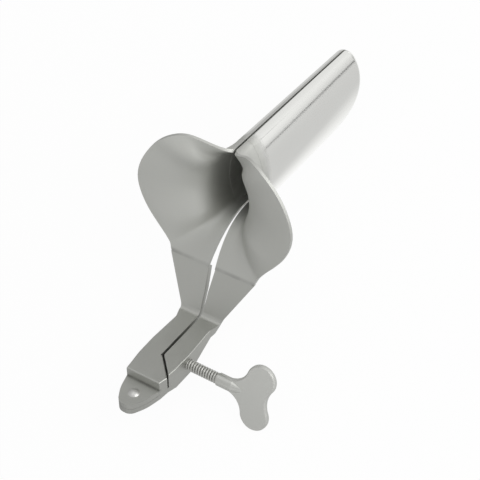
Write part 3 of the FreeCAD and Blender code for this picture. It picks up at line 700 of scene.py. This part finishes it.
def white_world(ambient):
    """Soft light from all round; the camera sees plain white, straight or through glass."""
    world = bpy.data.worlds.new("studio")
    bpy.context.scene.world = world
    world.use_nodes = True
    tree = world.node_tree
    tree.nodes.clear()
    output = tree.nodes.new("ShaderNodeOutputWorld")
    soft = tree.nodes.new("ShaderNodeBackground")
    white = tree.nodes.new("ShaderNodeBackground")
    for light in (soft, white):
        light.inputs["Color"].default_value = (1, 1, 1, 1)
    white.inputs["Strength"].default_value = 1.0
    way = split(tree, tree.nodes.new("ShaderNodeTexCoord").outputs["Generated"])
    back_and_up = product(tree, total(tree, way["Y"], way["Z"]), WORLD_BACK_AND_UP)
    level = total(tree, product(tree, way["X"], WORLD_TO_RIGHT), back_and_up, 1.0)
    tree.links.new(product(tree, level, ambient), soft.inputs["Strength"])
    path = tree.nodes.new("ShaderNodeLightPath").outputs
    seen = math_node(tree, "MAXIMUM", path["Is Camera Ray"], path["Is Transmission Ray"])
    tree.links.new(mixed_shaders(tree, seen, soft.outputs[0], white.outputs[0]), output.inputs["Surface"])


def flat_sheet(name, corners, material):
    """Sheet with four corners and one material."""
    mesh = bpy.data.meshes.new(name)
    mesh.from_pydata(corners, [], [(0, 1, 2, 3)])
    mesh.materials.append(material)
    sheet = bpy.data.objects.new(name, mesh)
    bpy.context.scene.collection.objects.link(sheet)
    return sheet


def floor_material():
    """Matte in the lamps' light, nearly white for the camera, and soft areas of brightness for the steel."""
    material = bpy.data.materials.new("pale_floor")
    material.use_nodes = True
    tree = material.node_tree
    tree.nodes.clear()
    output = tree.nodes.new("ShaderNodeOutputMaterial")
    matte = tree.nodes.new("ShaderNodeBsdfDiffuse")
    matte.inputs["Color"].default_value = (0.9, 0.9, 0.9, 1)
    mirrored = tree.nodes.new("ShaderNodeEmission")
    spot = split(tree, tree.nodes.new("ShaderNodeTexCoord").outputs["Object"])
    far_right = total(tree, spot["X"], spot["Y"])
    aside = math_node(tree, "ABSOLUTE", less(tree, spot["X"], BLADE_MIDDLE))
    below = product(tree, map_range(tree, aside, *ASIDE_RAMP, smooth=True),
                    map_range(tree, spot["Y"], *UNDER_RAMP, smooth=True))
    level = total(tree, map_range(tree, far_right, *NEAR_RAMP, smooth=True),
                  map_range(tree, far_right, *BEYOND_RAMP, smooth=True),
                  map_range(tree, spot["Y"], *FRONT_RAMP, smooth=True), below)
    tree.links.new(level, mirrored.inputs["Strength"])
    path = tree.nodes.new("ShaderNodeLightPath").outputs
    in_mirror = math_node(tree, "MAXIMUM", path["Is Glossy Ray"], path["Is Transmission Ray"])
    surface = mixed_shaders(tree, in_mirror, matte.outputs[0], mirrored.outputs[0])
    white = tree.nodes.new("ShaderNodeEmission")
    to_camera = product(tree, path["Is Camera Ray"], FLOOR_WHITE)
    tree.links.new(mixed_shaders(tree, to_camera, surface, white.outputs[0]), output.inputs["Surface"])
    return material


def white_floor(size, height):
    """Plain pale floor under the part."""
    half = size / 2
    corners = [(-half, -half, height), (half, -half, height), (half, half, height), (-half, half, height)]
    floor = flat_sheet("floor", corners, floor_material())


def dark_strip(height):
    """Narrow dark strip behind the tips, seen in reflections only: the dark line along the polished blade."""
    near, far = (Vector((*end, height)) for end in STRIP_ENDS)
    side = (far - near).cross(Vector((0, 0, 1))).normalized() * STRIP_WIDTH / 2
    material = bpy.data.materials.new("dark_felt")
    material.use_nodes = True
    felt = material.node_tree.nodes["Principled BSDF"]
    felt.inputs["Base Color"].default_value = (0.02, 0.02, 0.02, 1)
    felt.inputs["Roughness"].default_value = 0.9
    strip = flat_sheet("dark_strip", [near - side, far - side, far + side, near + side], material)
    for kind in ("camera", "diffuse", "shadow", "transmission", "volume_scatter"):
        setattr(strip, "visible_" + kind, False)


class SPECULUM_OT_stage(bpy.types.Operator):
    """Set the floor, the lamps and the camera"""
    bl_idname = "speculum.stage"
    bl_label = "Stage"

    def execute(self, context):
        sizes = context.scene.speculum_stage
        context.scene.view_settings.view_transform = "Standard"
        low, high = (Vector(corner) for corner in CAD_BOX)
        white_world(sizes.ambient)
        white_floor(sizes.floor_size, low.z)
        dark_strip(low.z + STRIP_LIFT)
        middle = (low + high) / 2
        for name, offset, size in LAMPS:
            power = getattr(sizes, name + "_power")
            lamp(name + "_lamp", middle + Vector(offset), middle, size, power)
        photo_camera(sizes.lens)
        return {"FINISHED"}


class SPECULUM_PT_panel(bpy.types.Panel):
    """Sizes, colours and steps of the speculum"""
    bl_label = "Speculum"
    bl_idname = "SPECULUM_PT_panel"
    bl_space_type = "VIEW_3D"
    bl_region_type = "UI"
    bl_category = "Speculum"

    def draw(self, context):
        for operator, group in PANEL_ROWS:
            box = self.layout.box()
            sizes = getattr(context.scene, group)
            for name in sizes.__annotations__:
                box.prop(sizes, name)
            box.operator(operator)


GROUPS = {
    "speculum_valves": ValveSizes,
    "speculum_forgings": ForgingSizes,
    "speculum_thread": ThreadSizes,
    "speculum_wing": WingSizes,
    "speculum_stage": StageSizes,
}
PANEL_ROWS = (
    ("speculum.valves", "speculum_valves"),
    ("speculum.handles", "speculum_forgings"),
    ("speculum.screw", "speculum_thread"),
    ("speculum.wing", "speculum_wing"),
    ("speculum.stage", "speculum_stage"),
)
CLASSES = (
    SPECULUM_OT_valves,
    SPECULUM_OT_handles,
    SPECULUM_OT_screw,
    SPECULUM_OT_wing,
    SPECULUM_OT_stage,
    SPECULUM_PT_panel,
)


def register():
    for name, group in GROUPS.items():
        bpy.utils.register_class(group)
        setattr(bpy.types.Scene, name, PointerProperty(type=group))
    for item in CLASSES:
        bpy.utils.register_class(item)


def unregister():
    for item in reversed(CLASSES):
        bpy.utils.unregister_class(item)
    for name, group in reversed(list(GROUPS.items())):
        delattr(bpy.types.Scene, name)
        bpy.utils.unregister_class(group)


def main():
    register()
    bpy.ops.speculum.valves()
    bpy.ops.speculum.handles()
    bpy.ops.speculum.screw()
    bpy.ops.speculum.wing()
    bpy.ops.speculum.stage()


if __name__ == "__main__":
    main()
